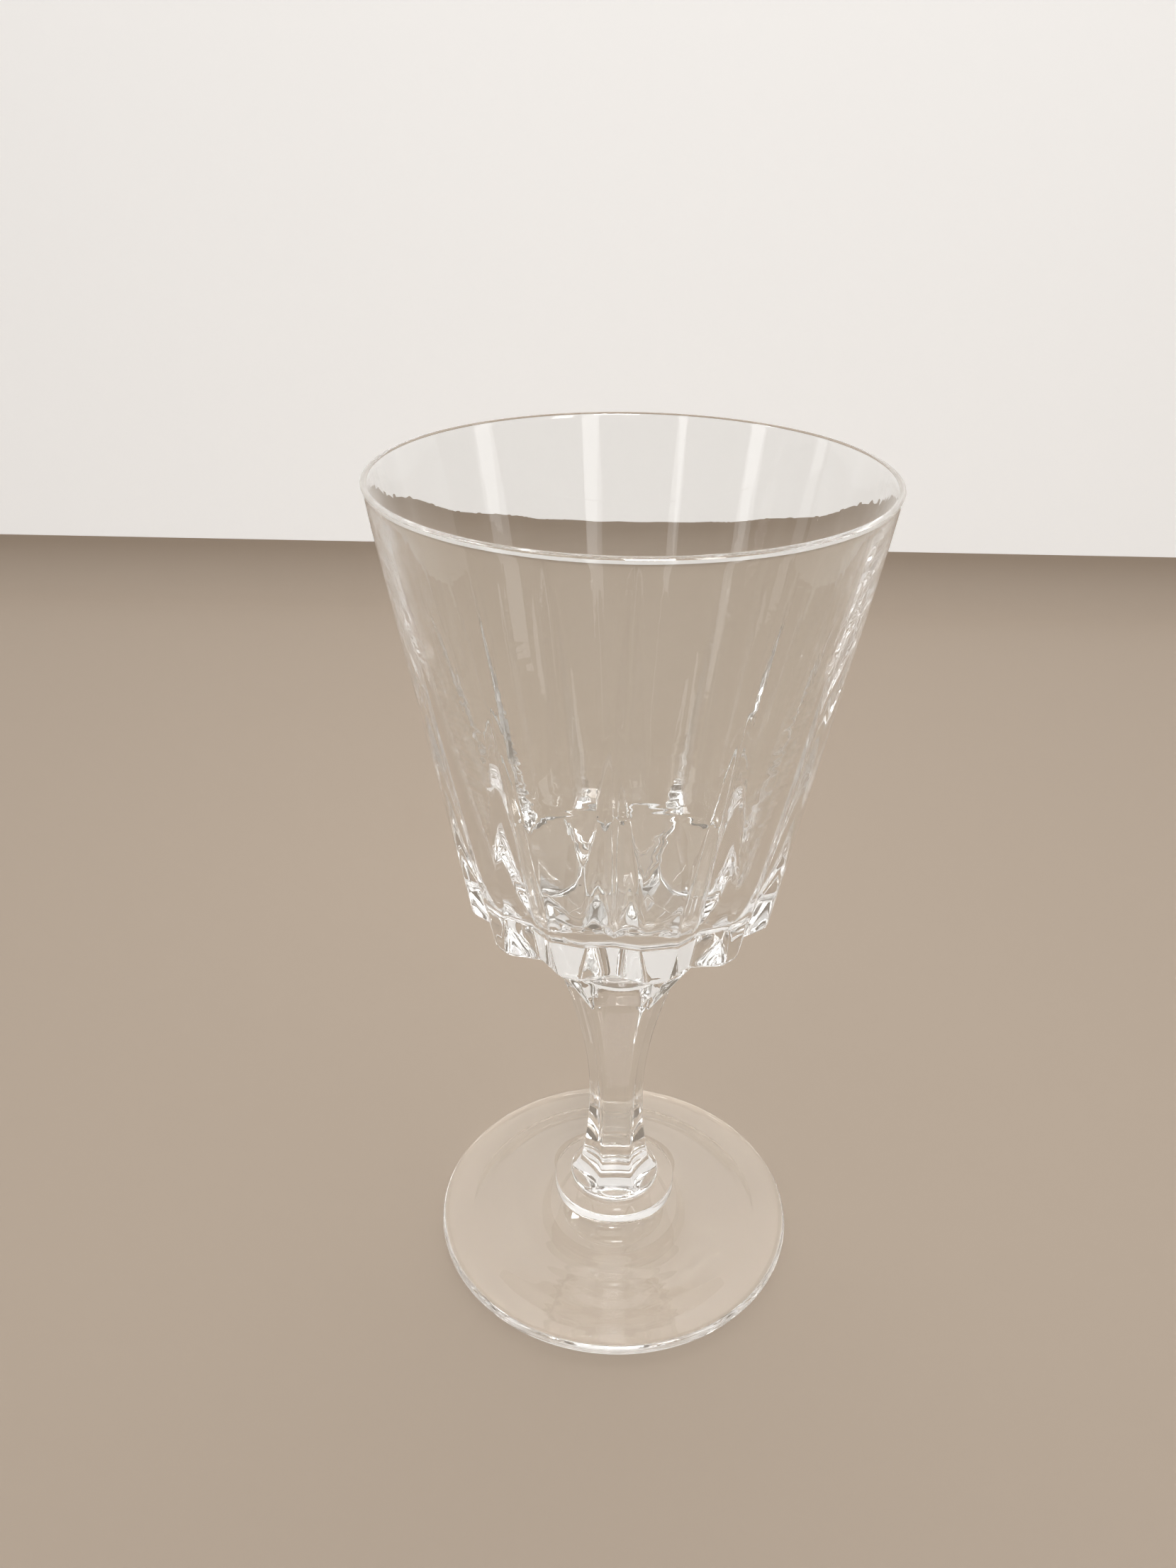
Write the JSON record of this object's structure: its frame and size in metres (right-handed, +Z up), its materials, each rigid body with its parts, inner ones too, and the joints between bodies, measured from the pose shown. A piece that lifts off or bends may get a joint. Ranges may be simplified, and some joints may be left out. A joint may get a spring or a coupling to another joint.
{
  "type": "wine glass",
  "caption": "Stemmed wine glass with a fluted conical bowl, a six-sided stem, a wafer collar and a round domed foot, all of clear pressed glass.",
  "frame": {"origin": "centre of the flat ring that the foot rests on, on the glass's axis", "axes": "+Z up along the glass's axis, -Y towards the front, +X to the right seen from the front"},
  "size_m": [0.076, 0.076, 0.145],
  "materials": {
    "bowl_glass": "clear fire-polished pressed glass, very smooth, faint mould waviness",
    "stem_glass": "clear fire-polished pressed glass, facet edges softened",
    "collar_glass": "clear pressed glass, fused on both faces",
    "foot_glass": "clear pressed glass with faint concentric tooling rings"
  },
  "bodies": {
    "root": {"bowl": "bowl_glass", "stem": "stem_glass", "collar": "collar_glass", "foot": "foot_glass"}
  },
  "joints": []
}
